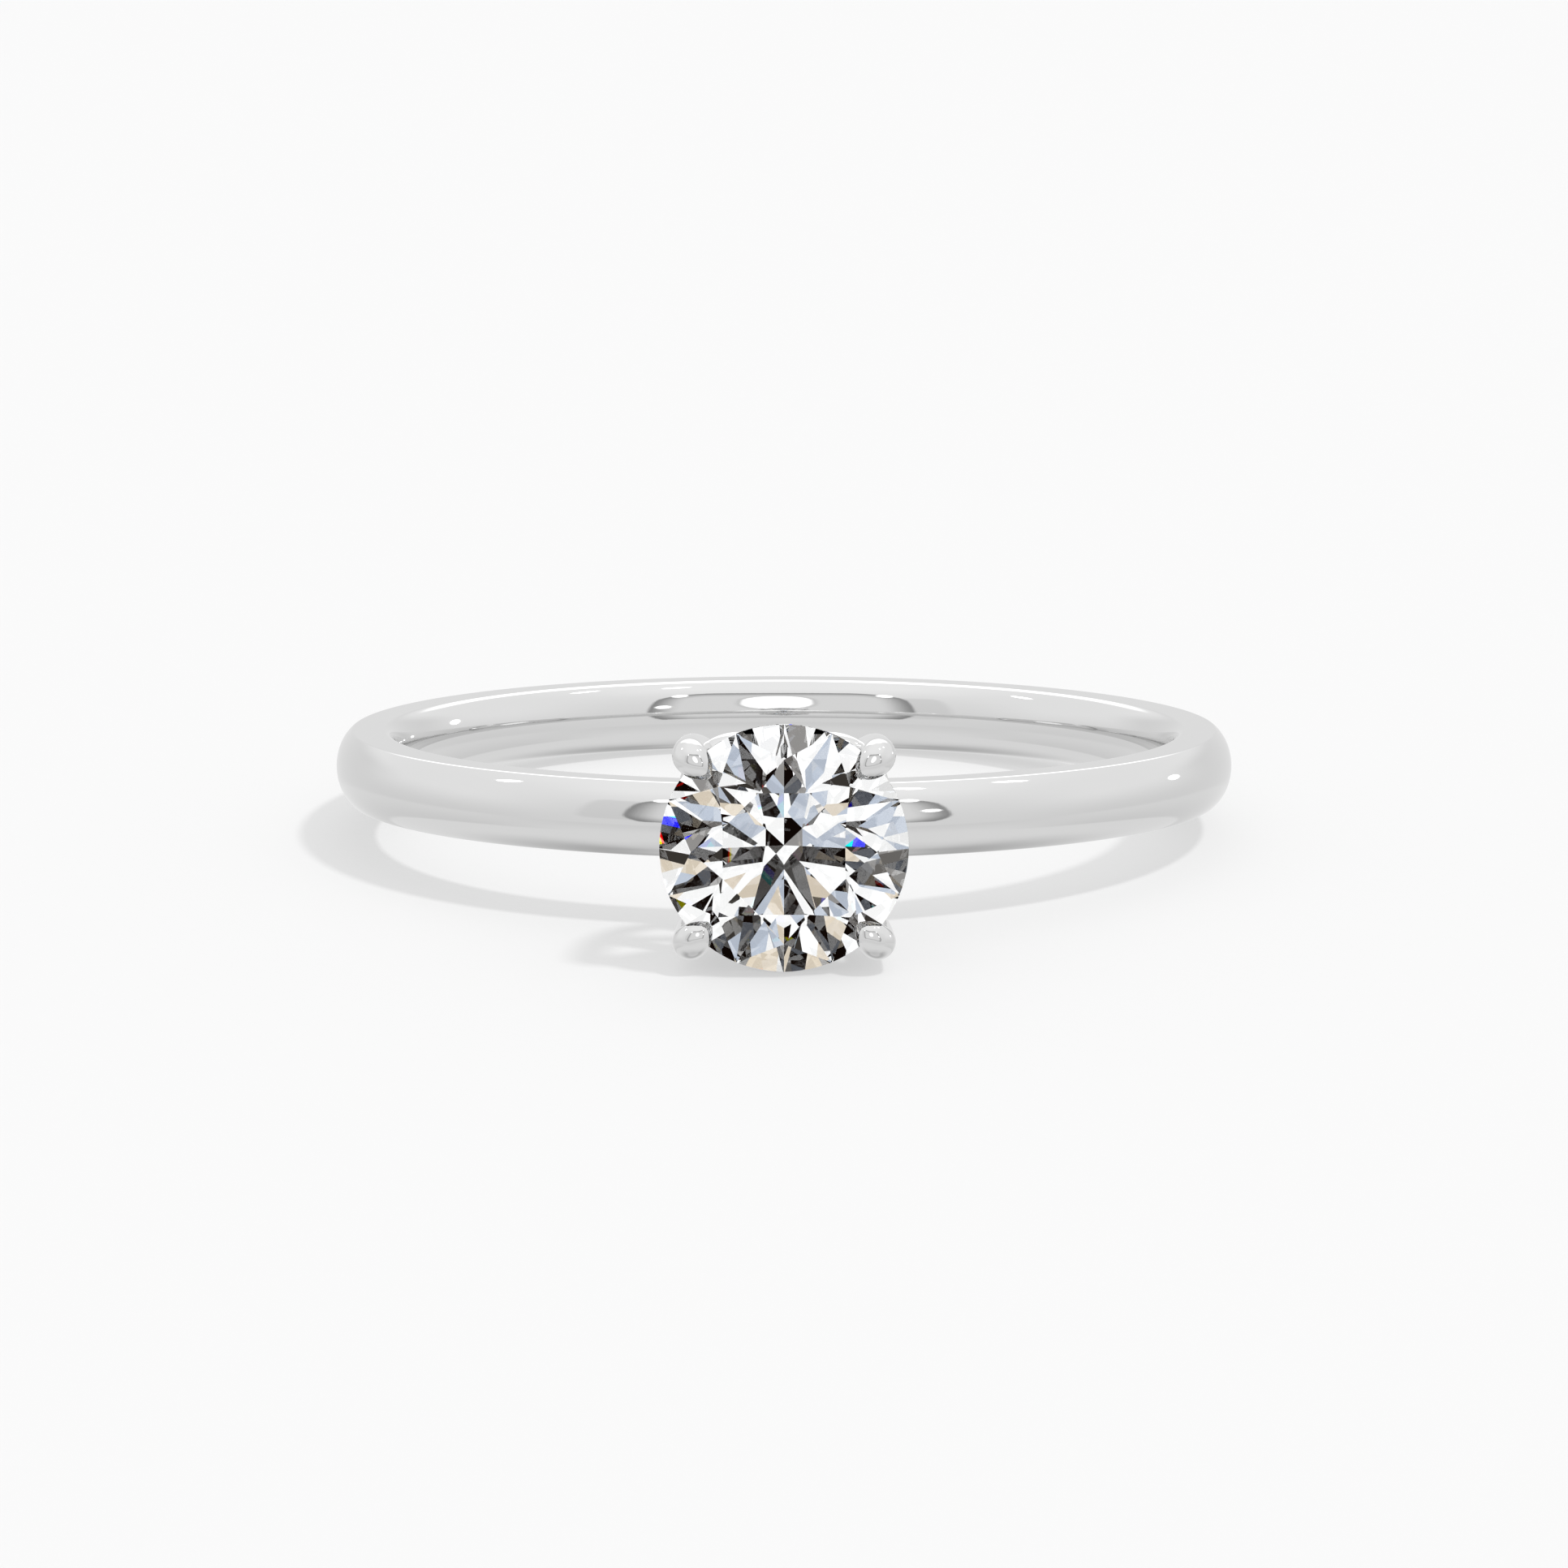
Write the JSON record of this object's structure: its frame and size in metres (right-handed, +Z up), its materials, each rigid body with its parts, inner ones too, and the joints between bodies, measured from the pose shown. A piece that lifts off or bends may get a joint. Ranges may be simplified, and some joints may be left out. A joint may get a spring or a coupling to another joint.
{
  "type": "engagement ring",
  "caption": "Solitaire ring: a plain polished domed band and a raised claw head that grips one round brilliant stone by its edge.",
  "frame": {"origin": "on the surface the ring lies on, under the middle of its bounding box; the ring touches it with the bottom of the stone's edge and with the back of the band", "axes": "+Z up; the finger hole's axis leans 4.4 degrees from it, toward +Y, which is how the ring lies in the picture; -Y the way the stone faces, 4.4 degrees above level; +X to the right of someone who looks at the stone"},
  "size_m": [0.0198, 0.0244, 0.0051],
  "materials": {
    "white_metal": "mirror-polished white precious metal, rhodium-bright, neutral in colour",
    "diamond": "clear colourless brilliant-cut gemstone with flat polished facets"
  },
  "bodies": {
    "root": {"shank": "white_metal", "collet": "white_metal", "gallery_rail": "white_metal", "claw_upper_left": "white_metal", "claw_upper_right": "white_metal", "claw_lower_left": "white_metal", "claw_lower_right": "white_metal", "centre_stone": "diamond"}
  },
  "joints": []
}
